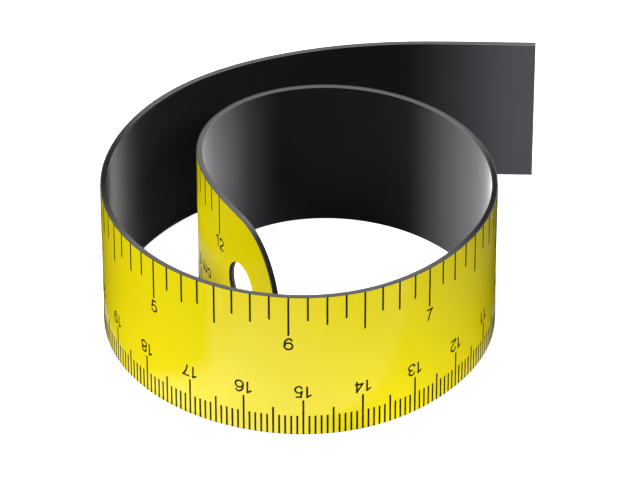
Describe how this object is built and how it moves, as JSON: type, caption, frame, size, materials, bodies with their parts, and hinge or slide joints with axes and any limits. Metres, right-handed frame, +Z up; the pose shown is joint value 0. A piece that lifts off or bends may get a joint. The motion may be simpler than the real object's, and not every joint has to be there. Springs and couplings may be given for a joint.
{
  "type": "magnetic ruler",
  "caption": "Flexible magnetic ruler standing on edge in a loose coil, with inch and metric graduations on its face and a hang hole in its round end.",
  "frame": {"origin": "centre of the coil's box in plan, on the surface that the lower edge stands on", "axes": "+Z up across the strip's width, +Y from the front of the coil to the straight stretch at the back, and the straight stretch runs along X with the zero end at +X"},
  "size_m": [0.0736, 0.0822, 0.027],
  "materials": {
    "magnetic_rubber": "satin",
    "adhesive": "satin",
    "printed_vinyl": "gloss",
    "printing_ink": "satin"
  },
  "bodies": {
    "root": {"magnet_strip": "magnetic_rubber", "adhesive_film": "adhesive", "face_film": "printed_vinyl"}
  },
  "joints": []
}
